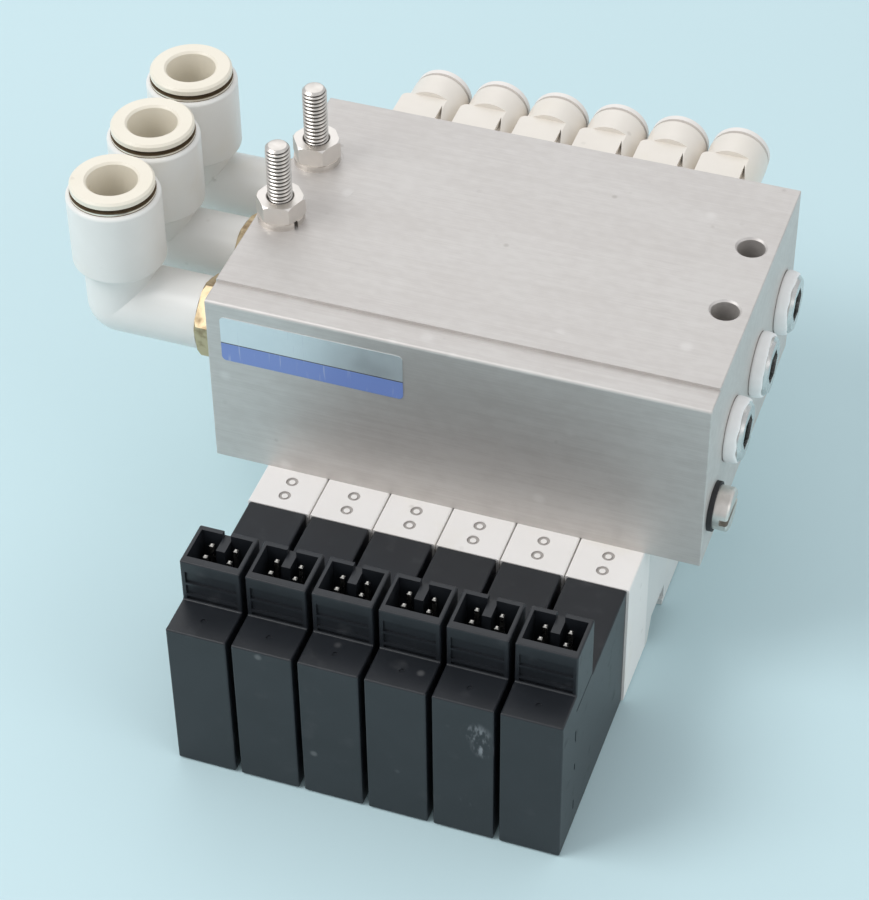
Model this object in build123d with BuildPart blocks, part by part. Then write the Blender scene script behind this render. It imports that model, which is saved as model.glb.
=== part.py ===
"""Six-station pneumatic valve island: a drilled aluminium manifold block that carries six
10 mm solenoid valves under it, three swivelling supply elbows on its left end, sealed plugs
on its right end and two rows of push-in outlets on its rear face.

The frame has +X along the row of valves towards the plugs, +Y towards the outlets and +Z out
of the mounting face. The origin is on the mounting face, midway between the four fixing holes.
"""
import os

from build123d import *

os.makedirs("parts", exist_ok=True)

# Clearances
fit_gap = 0.05            # radial gap of a screw, plug or insert in its hole
running_gap = 0.05        # radial gap of a moving shaft or ring in its bore
part_gap = 0.1            # gap beyond the end of a moving piece's travel

# Manifold block
stations = 6
station_pitch = 10.5
block_length = 80.5
block_depth = 55.0
block_height = 32.5
front_to_fixings = 30.5   # front face to the line midway between the fixing holes
ledge_width = 4.9         # milled strip along the front edge of the mounting face
ledge_drop = 0.5
front_edge_radius = 0.6
block_edge_radius = 0.2

# Galleries that run the length of the block
gallery_diameter = 7.5
gallery_z = -16.25
port_diameter = 9.7       # threaded port at each end of a gallery
port_depth = 9.0
port_chamfer = 0.4

# Fixing holes, two at each end, sunk from below for screw heads
fixing_diameter = 4.5
fixing_inset = 4.0
fixing_chamfer = 0.3
fixing_sink_diameter = 7.6
fixing_sink_depth = 1.6
nut_mark_diameter = 8.6   # shallow mark that a nut and its washer press into the face
nut_mark_depth = 0.05

# Outlet drillings, one row above and one below the galleries
outlet_row_offset = 8.0
outlet_port_diameter = 5.0
outlet_port_depth = 5.0
outlet_drill = 2.8

# Drillings between a valve and the block
valve_port_pitch = 5.5
supply_y = -2.5
valve_port_diameter = 2.2
exhaust_port_diameter = 2.0
exhaust_port_side = 3.0   # exhaust drillings stand beside the lower outlet drilling
pilot_y = -25.0
pilot_z = -24.5
pilot_gallery_diameter = 2.5
pilot_drill = 1.2
pilot_port_diameter = 5.0
pilot_port_depth = 5.5

# Valve main body
valve_width = 10.3
valve_height = 25.0
valve_edge_radius = 0.3
valve_axis_drop = 12.5    # top of the valve down to its spool axis
body_length = 48.5
notch_start = 1.4         # relief under the body, from its front face
notch_slope = 2.1
notch_length = 7.5
notch_depth = 4.0
notch_hook = 0.8
notch_hook_height = 1.2
gasket_thickness = 0.8
gasket_width = 9.0
gasket_margin = 3.0       # gasket behind the last valve port
gasket_front = 0.8        # body's front face to the gasket
gasket_hole_spare = 0.3

# Spool
land_diameter = 5.0
land_width = 1.6
guide_width = 2.0
front_guide_y = -18.4
rear_guide_y = 11.2
rod_diameter = 3.1
piston_diameter = 7.5
piston_width = 2.0
piston_front_gap = 0.6
spool_stroke = 2.5
undercut_diameter = 6.2
undercut_width = 2.6
bore_front_spare = 0.6
return_spring_length = 5.2
return_spring_diameter = 4.2
return_spring_wire = 0.4
return_spring_turns = 4.5

# Pilot block between the valve body and the coil
pilot_overhang = 8.6      # how far it stands in front of the manifold
pilot_tail = 3.5          # how far it reaches under the manifold
piston_bore_depth = 5.2
orifice_diameter = 1.0
feed_drop = 4.0           # top of the valve to the pilot feed drilling
feed_front = 3.0          # front face of the pilot block to the end of the feed
vent_drop = 3.0           # spool axis down to the drilling that loads the piston
dimple_diameter = 2.0
dimple_depth = 0.3
dimple_pip_diameter = 1.0
dimple_pip_height = 0.2
dimple_reaches = (2.4, 5.7)  # distances in front of the manifold

# Coil housing with its connector shroud
coil_width = 9.6
coil_length = 33.3
coil_edge_radius = 0.3
front_block_depth = 6.8
front_block_height = 3.8
shroud_depth = 8.2
shroud_height = 11.8
shroud_side_wall = 0.65
shroud_rear_wall = 0.95
shroud_front_wall = 1.3
shroud_cavity_depth = 9.0
key_notch_depth = 1.0     # rear wall is lower above the key
key_width = 1.4
key_reach = 2.6
key_offset = -0.15
lip_height = 2.1          # plain band at the top of the shroud's front face
panel_depth = 0.4
panel_margin = 0.7
ridge_height = 0.45
ridge_drops = (4.6, 6.9)  # top of the shroud to each ridge
side_line_depth = 0.2
side_line_width = 0.3
side_line_drop = 11.3     # top of the shroud to the parting line on its sides
side_slot_width = 0.4
side_slots = ((16.8, 2.4), (23.6, 1.4), (32.3, 2.0))  # drop of its middle, height
top_dot_diameter = 0.9
top_dot_depth = 0.2

# Terminals, four in each connector
pin_size = 0.64
pin_gap = 0.05
pin_tip_drop = 1.0
pin_tip_chamfer = 0.18
pin_root = 6.0            # length held in the housing below the cavity
pin_pitch_x = 3.9
pin_pitch_y = 2.54
pin_first = 1.55          # rear wall of the cavity to the first row

# Winding, fixed core, plunger and plunger spring
winding_diameter = 8.3
winding_bore = 4.9
winding_length = 24.0
winding_setback = 0.9     # rear face of the housing to the winding
core_length = 11.0
plunger_diameter = 4.8
plunger_travel = 0.5
plunger_nose_diameter = 2.4
plunger_nose_length = 1.0
spring_seat_diameter = 2.8
core_seat_depth = 2.0
plunger_seat_depth = 5.0
plunger_spring_diameter = 2.3
plunger_spring_wire = 0.3
plunger_spring_turns = 7

# Screws that hold a valve to the block
valve_screw_diameter = 2.0
valve_screw_length = 25.0
valve_screw_head = 3.2
valve_screw_head_height = 1.3
valve_screw_socket = 1.3
valve_screw_socket_depth = 0.7
valve_screw_spare = 0.6   # hole beyond the tip
front_screw_side = 3.2
front_screw_y = -21.5
rear_screw_y = 19.4

# Supply elbows on the left end
stem_standoff = 1.2       # thread that shows between the block and the hexagon
stem_thread_length = 7.0
stem_hex = 12.0
stem_hex_width = 5.0
stem_hex_chamfer = 0.5
stem_journal_diameter = 8.0
stem_journal_length = 8.5
stem_bore = 5.0
stem_turns = (40.0, 52.0, 46.0)
stem_seal_width = 1.6
stem_seal_diameter = 6.4
stem_seal_setback = 2.0   # end of the journal to the seal
elbow_reach = 21.1        # end of the block to the upright axis
elbow_branch_diameter = 12.0
elbow_rise = 23.55        # gallery axis to the top of the release ring
elbow_gap = 0.8           # between the heads of neighbouring elbows
head_shoulder = 1.6       # branch to the outside of the head
head_start = 8.1          # gallery axis to the underside of the head
head_edge_radius = 0.6
head_lip = 0.7            # wall of the head outside the collar
collar_width = 1.3
collar_proud = 0.5
collar_sunk = 1.0
release_flange_inset = 0.1
release_flange_width = 1.1
release_sleeve_gap = 0.4   # sleeve to the collar
release_wall = 1.1
release_sleeve_length = 6.5
release_chamfer = 0.35
release_travel = 0.6
tube_seat_depth = 15.0    # top of the release ring to the step that stops the tube

# Push-in outlets
outlet_diameter = 10.2
outlet_flats = 8.4
outlet_flat_length = 10.8
outlet_lug_side = 4.9     # flat lug on one side of the bar, from the axis
outlet_lug_radius = 1.2
outlet_notch_side = 2.6   # axis to the V-shaped notch beside the flat
outlet_notch_length = 9.1
outlet_notch_width = 2.4
outlet_notch_depth = 1.2
outlet_length = 16.3
outlet_edge_radius = 0.4
outlet_thread_length = 4.5
outlet_thread_bore = 2.6
outlet_flange_diameter = 10.0
outlet_flange_width = 1.3
outlet_sleeve_diameter = 7.4
outlet_sleeve_length = 4.5
outlet_chamfer = 0.3
outlet_travel = 0.4
outlet_tube_bore = 6.2
outlet_tube_depth = 11.0  # end of the release ring to the step that stops the tube
outlet_seal_width = 1.6

# Plugs on the right end
plug_length = 8.0
plug_stand = 2.7
plug_chamfer = 0.5
plug_socket = 5.0
plug_socket_depth = 4.0
tape_diameter = 11.0
tape_length = 1.9
tape_edge_radius = 0.5
pilot_plug_grip = 5.0
pilot_plug_head = 7.0
pilot_plug_head_width = 2.4
pilot_plug_slot = 1.1
pilot_plug_slot_depth = 1.3
pilot_plug_chamfer = 0.3
pilot_gasket_diameter = 8.0
pilot_gasket_width = 0.8

# Mounting screws with their nuts and spring washers
screw_diameter = 4.0
screw_length = 45.0
screw_tip_chamfer = 0.5
screw_head_diameter = 7.0
screw_head_height = 4.0
screw_socket = 3.0
screw_socket_depth = 2.0
nut_across_flats = 7.0
nut_height = 3.2
nut_chamfer = 0.35
nut_turns = (10.0, 4.0)
washer_diameter = 7.6
washer_bore = 4.2
washer_height = 1.1
washer_split = 0.7
washer_turns = (-30.0, 20.0)

# Places worked out from the sizes above
head_diameter = elbow_branch_diameter + 2 * head_shoulder
collar_diameter = head_diameter - 2 * head_lip
collar_bore = collar_diameter - 2 * collar_width
release_flange_diameter = collar_diameter - 2 * release_flange_inset
release_sleeve_diameter = collar_bore - 2 * release_sleeve_gap
tube_bore = release_sleeve_diameter - 2 * release_wall
gallery_pitch = head_diameter + elbow_gap
left_x = -block_length / 2
right_x = block_length / 2
front_y = -front_to_fixings
rear_y = front_y + block_depth
under_z = -block_height
floor_z = under_z - valve_height
axis_z = under_z - valve_axis_drop
fixing_x = right_x - fixing_inset
fixing_ys = (-gallery_pitch / 2, gallery_pitch / 2)
gallery_ys = (-gallery_pitch, 0.0, gallery_pitch)
station_xs = [(n - (stations - 1) / 2) * station_pitch for n in range(stations)]
upper_z = gallery_z + outlet_row_offset
lower_z = gallery_z - outlet_row_offset
outlet_one_y = supply_y - valve_port_pitch
outlet_two_y = supply_y + valve_port_pitch
exhaust_one_y = supply_y - 2 * valve_port_pitch
exhaust_two_y = supply_y + 2 * valve_port_pitch
port_ys = (exhaust_one_y, outlet_one_y, supply_y, outlet_two_y, exhaust_two_y)
pilot_front_y = front_y - pilot_overhang
body_front_y = front_y + pilot_tail
body_rear_y = body_front_y + body_length
notch_z = floor_z + notch_depth
gasket_front_y = body_front_y + gasket_front
gasket_rear_y = exhaust_two_y + gasket_margin
valve_screw_spots = ((front_screw_side, front_screw_y), (0.0, rear_screw_y))
valve_screw_tip_z = notch_z + valve_screw_length
piston_chamber_y = body_front_y - piston_bore_depth
piston_y = piston_chamber_y + piston_front_gap
bore_front_y = front_guide_y - guide_width / 2 - bore_front_spare
spool_rear_y = rear_guide_y + guide_width / 2
bore_end_y = spool_rear_y + return_spring_length
feed_z = under_z - feed_drop
feed_y = pilot_front_y + feed_front
coil_front_y = pilot_front_y - coil_length
shroud_front_y = coil_front_y + front_block_depth
shroud_rear_y = shroud_front_y + shroud_depth
shroud_top_z = under_z + shroud_height
front_block_z = under_z + front_block_height
cavity_front_y = shroud_front_y + shroud_front_wall
cavity_rear_y = shroud_rear_y - shroud_rear_wall
cavity_width = coil_width - 2 * shroud_side_wall
cavity_floor_z = shroud_top_z - shroud_cavity_depth
pin_spots = [
    (side * pin_pitch_x / 2, cavity_rear_y - pin_first - row * pin_pitch_y)
    for side in (-1, 1)
    for row in (0, 1)
]
winding_rear_y = pilot_front_y - winding_setback
winding_front_y = winding_rear_y - winding_length
core_rear_y = winding_front_y + core_length
plunger_front_y = core_rear_y + plunger_travel + part_gap
plunger_nose_y = pilot_front_y - fit_gap
plunger_rear_y = plunger_nose_y - plunger_nose_length
stem_hex_x = left_x - stem_standoff
stem_shoulder_x = stem_hex_x - stem_hex_width
stem_end_x = stem_shoulder_x - stem_journal_length
stem_seal_x = stem_end_x + stem_seal_setback
elbow_x = left_x - elbow_reach
elbow_face_x = stem_shoulder_x - part_gap
release_top_z = gallery_z + elbow_rise
release_under_z = release_top_z - release_flange_width
release_sleeve_z = release_under_z - release_sleeve_length
collar_top_z = release_under_z - release_travel - part_gap
head_top_z = collar_top_z - collar_proud
collar_seat_z = head_top_z - collar_sunk
tube_seat_z = release_top_z - tube_seat_depth
outlet_end_y = rear_y + outlet_length
outlet_flange_y = outlet_end_y + outlet_travel + part_gap
outlet_mouth_y = outlet_flange_y + outlet_flange_width
outlet_sleeve_y = outlet_flange_y - outlet_sleeve_length
outlet_seat_y = outlet_mouth_y - outlet_tube_depth
outlet_seal_y = outlet_sleeve_y - outlet_travel - part_gap - outlet_seal_width
screw_seat_z = under_z + fixing_sink_depth
washer_z = -nut_mark_depth
nut_z = washer_z + washer_height
at_stations = [(x, 0, 0) for x in station_xs]
at_galleries = [(0, y, 0) for y in gallery_ys]
at_outlets = [(x, 0, z) for z in (upper_z, lower_z) for x in station_xs]


def facing_x(x):
    """Sketch plane across X: its own x runs along Y and its own y along Z."""
    return Plane.YZ.offset(x)


def facing_y(y):
    """Sketch plane across Y, seen from the front: its own x runs along X, its own y along Z."""
    return Plane.XZ.offset(-y)


def facing_z(z):
    """Level sketch plane at a height."""
    return Plane.XY.offset(z)


def along_x(centres, diameter, start_x, end_x, mode=Mode.SUBTRACT):
    """Cuts or adds round bars along X at (y, z) centres, from one place to another."""
    with Locations(*[((start_x + end_x) / 2, y, z) for y, z in centres]):
        Cylinder(diameter / 2, abs(end_x - start_x), rotation=(0, 90, 0), mode=mode)


def along_y(centres, diameter, start_y, end_y, mode=Mode.SUBTRACT):
    """Cuts or adds round bars along Y at (x, z) centres, from one place to another."""
    with Locations(*[(x, (start_y + end_y) / 2, z) for x, z in centres]):
        Cylinder(diameter / 2, abs(end_y - start_y), rotation=(90, 0, 0), mode=mode)


def along_z(centres, diameter, start_z, end_z, mode=Mode.SUBTRACT):
    """Cuts or adds round bars along Z at (x, y) centres, from one height to another."""
    with Locations(*[(x, y, (start_z + end_z) / 2) for x, y in centres]):
        Cylinder(diameter / 2, abs(end_z - start_z), mode=mode)


def coil_spring(start_y, length, diameter, wire, turns):
    """Adds a coil spring on a valve's axis; the wire stays inside the stated length."""
    height = length - wire
    with BuildLine() as path:
        Helix(
            pitch=height / turns,
            height=height,
            radius=(diameter - wire) / 2,
            center=(0, start_y + wire / 2, axis_z),
            direction=(0, 1, 0),
        )
    with BuildSketch(Plane(origin=path.line @ 0, z_dir=path.line % 0)) as section:
        Circle(wire / 2)
    sweep(section.sketch, path=path.line, is_frenet=True)


def rims_of(builder, radius):
    """Round edges of one radius on the piece being built."""
    rims = builder.edges().filter_by(GeomType.CIRCLE)
    return rims.filter_by(lambda rim: abs(rim.radius - radius) < 0.001)


def save(builder, name):
    """Labels a finished piece and writes it under the same name."""
    builder.part.label = name
    export_step(builder.part, f"parts/{name}.step")


def save_copies(builder, name, spots):
    """Writes numbered copies of a piece, one at each spot."""
    for number, spot in enumerate(spots, 1):
        copy = builder.part.moved(Location(spot))
        copy.label = f"{name}_{number}"
        export_step(copy, f"parts/{name}_{number}.step")


def save_group(builder, name, spots):
    """Writes one file that holds a separate copy of a piece at each spot."""
    with BuildPart() as group:
        with Locations(*spots):
            add(builder.part)
    save(group, name)


# Aluminium block with its galleries, ports and drillings
with BuildPart() as manifold_block:
    with BuildSketch(facing_x(left_x)):
        with BuildLine():
            Polyline(
                (front_y, under_z),
                (rear_y, under_z),
                (rear_y, 0),
                (front_y + ledge_width, 0),
                (front_y + ledge_width, -ledge_drop),
                (front_y, -ledge_drop),
                close=True,
            )
        make_face()
    extrude(amount=block_length)
    front_edges = manifold_block.edges().filter_by(Axis.X).group_by(Axis.Y)[0]
    fillet(front_edges.sort_by(Axis.Z)[-1], front_edge_radius)
    fillet(manifold_block.faces().filter_by(Axis.X).edges(), block_edge_radius)
    gallery_centres = [(y, gallery_z) for y in gallery_ys]
    along_x(gallery_centres, gallery_diameter, left_x, right_x)
    along_x(gallery_centres, port_diameter, left_x, left_x + port_depth)
    along_x(gallery_centres, port_diameter, right_x - port_depth, right_x)
    port_rims = rims_of(manifold_block, port_diameter / 2).group_by(Axis.X)
    chamfer(port_rims[0] + port_rims[-1], port_chamfer)
    fixing_centres = [(x, y) for x in (-fixing_x, fixing_x) for y in fixing_ys]
    along_z(fixing_centres, fixing_diameter, under_z, 0)
    along_z(fixing_centres, fixing_sink_diameter, under_z, screw_seat_z)
    chamfer(rims_of(manifold_block, fixing_diameter / 2).group_by(Axis.Z)[-1], fixing_chamfer)
    along_z([(-fixing_x, y) for y in fixing_ys], nut_mark_diameter, -nut_mark_depth, 0)
    upper_centres = [(x, upper_z) for x in station_xs]
    lower_centres = [(x, lower_z) for x in station_xs]
    along_y(upper_centres, outlet_drill, outlet_one_y - outlet_drill / 2, rear_y)
    along_y(lower_centres, outlet_drill, outlet_two_y - outlet_drill / 2, rear_y)
    outlet_centres = upper_centres + lower_centres
    along_y(outlet_centres, outlet_port_diameter, rear_y - outlet_port_depth, rear_y)
    for start_y, top_z in ((outlet_one_y, upper_z), (supply_y, gallery_z), (outlet_two_y, lower_z)):
        along_z([(x, start_y) for x in station_xs], valve_port_diameter, under_z, top_z)
    # The exhaust drillings lean to reach the outer galleries
    for start_y, gallery_y in ((exhaust_one_y, -gallery_pitch), (exhaust_two_y, gallery_pitch)):
        lean = Vector(0, gallery_y - start_y, gallery_z - under_z)
        for x in station_xs:
            foot = Vector(x + exhaust_port_side, start_y, under_z)
            with BuildSketch(Plane(origin=foot - lean * 0.1, z_dir=lean)):
                Circle(exhaust_port_diameter / 2)
            extrude(amount=lean.length * 1.1, mode=Mode.SUBTRACT)
    along_x([(pilot_y, pilot_z)], pilot_gallery_diameter, station_xs[0] - pilot_drill, right_x)
    along_x([(pilot_y, pilot_z)], pilot_port_diameter, right_x - pilot_port_depth, right_x)
    along_z([(x, pilot_y) for x in station_xs], pilot_drill, under_z, pilot_z)
    screw_centres = [(x + side, y) for x in station_xs for side, y in valve_screw_spots]
    screw_hole = valve_screw_diameter + 2 * fit_gap
    along_z(screw_centres, screw_hole, under_z, valve_screw_tip_z + valve_screw_spare)
save(manifold_block, "manifold_block")

# Screws that come up through the left fixing holes
with BuildPart() as mounting_screws:
    left_centres = [(-fixing_x, y) for y in fixing_ys]
    head_z = screw_seat_z - screw_head_height
    along_z(left_centres, screw_head_diameter, head_z, screw_seat_z, Mode.ADD)
    along_z(left_centres, screw_diameter, screw_seat_z, screw_seat_z + screw_length, Mode.ADD)
    with BuildSketch(facing_z(head_z)):
        with Locations(*left_centres):
            RegularPolygon(screw_socket / 2, 6, major_radius=False)
    extrude(amount=screw_socket_depth, mode=Mode.SUBTRACT)
    chamfer(rims_of(mounting_screws, screw_diameter / 2).group_by(Axis.Z)[-1], screw_tip_chamfer)
save(mounting_screws, "mounting_screws")

# Hexagon nut: a disc with chamfered rims, cut back to its six flats
with BuildPart() as nut:
    with BuildSketch(facing_z(nut_z)):
        Circle(nut_across_flats / 2 / 0.866)
    extrude(amount=nut_height)
    chamfer(nut.edges().filter_by(GeomType.CIRCLE), nut_chamfer)
    with BuildSketch(facing_z(nut_z)):
        RegularPolygon(nut_across_flats / 2, 6, major_radius=False)
        Circle(screw_diameter / 2 + fit_gap, mode=Mode.SUBTRACT)
    extrude(amount=nut_height, mode=Mode.INTERSECT)

# One nut on each screw, turned as it was tightened
with BuildPart() as screw_nuts:
    for y, turn in zip(fixing_ys, nut_turns):
        with Locations((-fixing_x, y, 0)):
            add(nut.part, rotation=(0, 0, turn))
save(screw_nuts, "screw_nuts")

# Split spring washer under each nut
with BuildPart() as washer:
    with BuildSketch(facing_z(washer_z)):
        Circle(washer_diameter / 2)
        Circle(washer_bore / 2, mode=Mode.SUBTRACT)
        with Locations((washer_diameter / 2, 0)):
            Rectangle(washer_diameter / 2, washer_split, mode=Mode.SUBTRACT)
    extrude(amount=washer_height)

with BuildPart() as spring_washers:
    for y, turn in zip(fixing_ys, washer_turns):
        with Locations((-fixing_x, y, 0)):
            add(washer.part, rotation=(0, 0, turn))
save(spring_washers, "spring_washers")

# Socket plugs in the right ends of the galleries
with BuildPart() as gallery_plugs:
    plug_x = right_x + plug_stand
    plug_diameter = port_diameter - 2 * fit_gap
    along_x(gallery_centres, plug_diameter, plug_x - plug_length, plug_x, Mode.ADD)
    chamfer(rims_of(gallery_plugs, plug_diameter / 2), plug_chamfer)
    with BuildSketch(facing_x(plug_x)):
        with Locations(*gallery_centres):
            RegularPolygon(plug_socket / 2, 6, major_radius=False)
    extrude(amount=-plug_socket_depth, mode=Mode.SUBTRACT)
save(gallery_plugs, "gallery_plugs")

# Sealing tape squeezed out round each plug
with BuildPart() as sealing_tape:
    along_x(gallery_centres, tape_diameter, right_x, right_x + tape_length, Mode.ADD)
    fillet(rims_of(sealing_tape, tape_diameter / 2).group_by(Axis.X)[-1], tape_edge_radius)
    along_x(gallery_centres, plug_diameter, right_x, right_x + tape_length)
save(sealing_tape, "sealing_tape")

# Slotted plug and its gasket in the pilot gallery
with BuildPart() as pilot_plug:
    pilot_centre = [(pilot_y, pilot_z)]
    pilot_head_x = right_x + pilot_gasket_width
    pilot_end_x = pilot_head_x + pilot_plug_head_width
    pilot_thread = pilot_port_diameter - 2 * fit_gap
    along_x(pilot_centre, pilot_thread, right_x - pilot_plug_grip, pilot_head_x, Mode.ADD)
    along_x(pilot_centre, pilot_plug_head, pilot_head_x, pilot_end_x, Mode.ADD)
    chamfer(rims_of(pilot_plug, pilot_plug_head / 2).group_by(Axis.X)[-1], pilot_plug_chamfer)
    with BuildSketch(facing_x(pilot_end_x)):
        with Locations(*pilot_centre):
            Rectangle(pilot_plug_head, pilot_plug_slot)
    extrude(amount=-pilot_plug_slot_depth, mode=Mode.SUBTRACT)
save(pilot_plug, "pilot_plug")

with BuildPart() as pilot_plug_gasket:
    along_x(pilot_centre, pilot_gasket_diameter, right_x, pilot_head_x, Mode.ADD)
    along_x(pilot_centre, pilot_port_diameter, right_x, pilot_head_x)
save(pilot_plug_gasket, "pilot_plug_gasket")

# Brass stems: a hexagon between the thread in the block and the journal of the elbow
with BuildPart() as elbow_stems:
    for y, turn in zip(gallery_ys, stem_turns):
        with BuildSketch(facing_x(stem_shoulder_x)):
            with Locations((y, gallery_z)):
                Circle(stem_hex / 2 / 0.866)
        extrude(amount=stem_hex_width)
    chamfer(elbow_stems.edges().filter_by(GeomType.CIRCLE), stem_hex_chamfer)
    with BuildSketch(facing_x(stem_shoulder_x)):
        for y, turn in zip(gallery_ys, stem_turns):
            with Locations((y, gallery_z)):
                RegularPolygon(stem_hex / 2, 6, major_radius=False, rotation=turn)
    extrude(amount=stem_hex_width, mode=Mode.INTERSECT)
    stem_thread = port_diameter - 2 * fit_gap
    along_x(gallery_centres, stem_thread, stem_hex_x, stem_hex_x + stem_thread_length, Mode.ADD)
    along_x(gallery_centres, stem_journal_diameter, stem_shoulder_x, stem_end_x, Mode.ADD)
    with BuildSketch(facing_x(stem_seal_x)):
        with Locations(*gallery_centres):
            Circle(stem_journal_diameter / 2)
            Circle(stem_seal_diameter / 2, mode=Mode.SUBTRACT)
    extrude(amount=stem_seal_width, mode=Mode.SUBTRACT)
    along_x(gallery_centres, stem_bore, stem_end_x, stem_hex_x + stem_thread_length)
save(elbow_stems, "elbow_stems")

# Seal rings in the grooves of the journals
with BuildPart() as elbow_stem_seals:
    with BuildSketch(facing_x(stem_seal_x)):
        with Locations(*gallery_centres):
            Circle(stem_journal_diameter / 2)
            Circle(stem_seal_diameter / 2, mode=Mode.SUBTRACT)
    extrude(amount=stem_seal_width)
save(elbow_stem_seals, "elbow_stem_seals")

# Elbow body: two bars that meet in a ball; it turns on the stem and its head holds the tube
with BuildPart() as elbow_body:
    upright = [(elbow_x, 0)]
    along_x([(0, gallery_z)], elbow_branch_diameter, elbow_x, elbow_face_x, Mode.ADD)
    along_z(upright, elbow_branch_diameter, gallery_z, gallery_z + head_start, Mode.ADD)
    with Locations((elbow_x, 0, gallery_z)):
        Sphere(elbow_branch_diameter / 2)
    along_z(upright, head_diameter, gallery_z + head_start, head_top_z, Mode.ADD)
    fillet(rims_of(elbow_body, head_diameter / 2), head_edge_radius)
    along_z(upright, collar_diameter, collar_seat_z, head_top_z)
    sleeve_bore = release_sleeve_diameter + 2 * running_gap
    sleeve_floor_z = release_sleeve_z - release_travel - part_gap
    along_z(upright, sleeve_bore, sleeve_floor_z, head_top_z)
    along_z(upright, tube_bore, tube_seat_z, sleeve_floor_z)
    along_z(upright, stem_bore, gallery_z - stem_bore / 2, tube_seat_z)
    journal_bore = stem_journal_diameter + 2 * running_gap
    along_x([(0, gallery_z)], journal_bore, stem_end_x - part_gap, elbow_face_x)
    along_x([(0, gallery_z)], stem_bore, elbow_x, stem_end_x)
save_copies(elbow_body, "elbow_body", at_galleries)

# Bright collar that holds the release ring in the head
with BuildPart() as elbow_collar:
    along_z(upright, collar_diameter, collar_seat_z, collar_top_z, Mode.ADD)
    along_z(upright, collar_bore, collar_seat_z, collar_top_z)
save_copies(elbow_collar, "elbow_collar", at_galleries)

# Release ring: its sleeve slides in the head and its flange is pressed to free the tube
with BuildPart() as elbow_ring:
    along_z(upright, release_flange_diameter, release_under_z, release_top_z, Mode.ADD)
    along_z(upright, release_sleeve_diameter, release_sleeve_z, release_under_z, Mode.ADD)
    along_z(upright, tube_bore, release_sleeve_z, release_top_z)
    chamfer(elbow_ring.faces().sort_by(Axis.Z)[-1].edges(), release_chamfer)
save_copies(elbow_ring, "elbow_ring", at_galleries)

# Outlet body: a round bar with two flats, a flat lug on one side, a thread and the tube socket
with BuildPart() as outlet_fitting:
    outlet_centre = [(0, 0)]
    flat_end_y = rear_y + outlet_flat_length
    along_y(outlet_centre, outlet_diameter, rear_y, outlet_end_y, Mode.ADD)
    fillet(rims_of(outlet_fitting, outlet_diameter / 2).group_by(Axis.Y)[-1], outlet_edge_radius)
    with BuildSketch(facing_z(-outlet_flats / 2)):
        with Locations((-outlet_lug_side / 2, rear_y + outlet_flat_length / 2)):
            Rectangle(outlet_lug_side, outlet_flat_length)
    lug = extrude(amount=outlet_flats)
    lug_corners = outlet_fitting.edges().filter_by(Axis.Z).group_by(Axis.X)[0]
    fillet(lug_corners.sort_by(Axis.Y)[-1], outlet_lug_radius)
    for side in (-1, 1):
        with BuildSketch(facing_y(rear_y)):
            with Locations((0, side * (outlet_flats + outlet_diameter) / 2)):
                Rectangle(outlet_diameter, outlet_diameter)
        extrude(amount=-outlet_flat_length, mode=Mode.SUBTRACT)
        with BuildSketch(facing_z(side * outlet_flats / 2)):
            with BuildLine():
                Polyline(
                    (outlet_notch_side, rear_y),
                    (outlet_notch_side, rear_y + outlet_notch_length),
                    (outlet_notch_side + outlet_notch_width, rear_y),
                    close=True,
                )
            make_face()
        extrude(amount=-side * outlet_notch_depth, mode=Mode.SUBTRACT)
    outlet_thread = outlet_port_diameter - 2 * fit_gap
    outlet_bore = outlet_sleeve_diameter + 2 * running_gap
    along_y(outlet_centre, outlet_thread, rear_y - outlet_thread_length, rear_y, Mode.ADD)
    along_y(outlet_centre, outlet_thread_bore, rear_y - outlet_thread_length, outlet_end_y)
    along_y(outlet_centre, outlet_tube_bore, outlet_seat_y, outlet_end_y)
    along_y(outlet_centre, outlet_bore, outlet_seal_y, outlet_end_y)
save_group(outlet_fitting, "outlet_fittings", at_outlets)

# Tube seal behind each release ring
with BuildPart() as outlet_seal:
    outlet_seal_end_y = outlet_seal_y + outlet_seal_width
    along_y(outlet_centre, outlet_bore, outlet_seal_y, outlet_seal_end_y, Mode.ADD)
    along_y(outlet_centre, outlet_tube_bore, outlet_seal_y, outlet_seal_end_y)
save_group(outlet_seal, "outlet_seals", at_outlets)

# Release ring of an outlet
with BuildPart() as outlet_ring:
    along_y(outlet_centre, outlet_flange_diameter, outlet_flange_y, outlet_mouth_y, Mode.ADD)
    along_y(outlet_centre, outlet_sleeve_diameter, outlet_sleeve_y, outlet_flange_y, Mode.ADD)
    along_y(outlet_centre, outlet_tube_bore, outlet_sleeve_y, outlet_mouth_y)
    chamfer(outlet_ring.faces().sort_by(Axis.Y)[-1].edges(), outlet_chamfer)
save_copies(outlet_ring, "outlet_ring", at_outlets)

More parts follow.
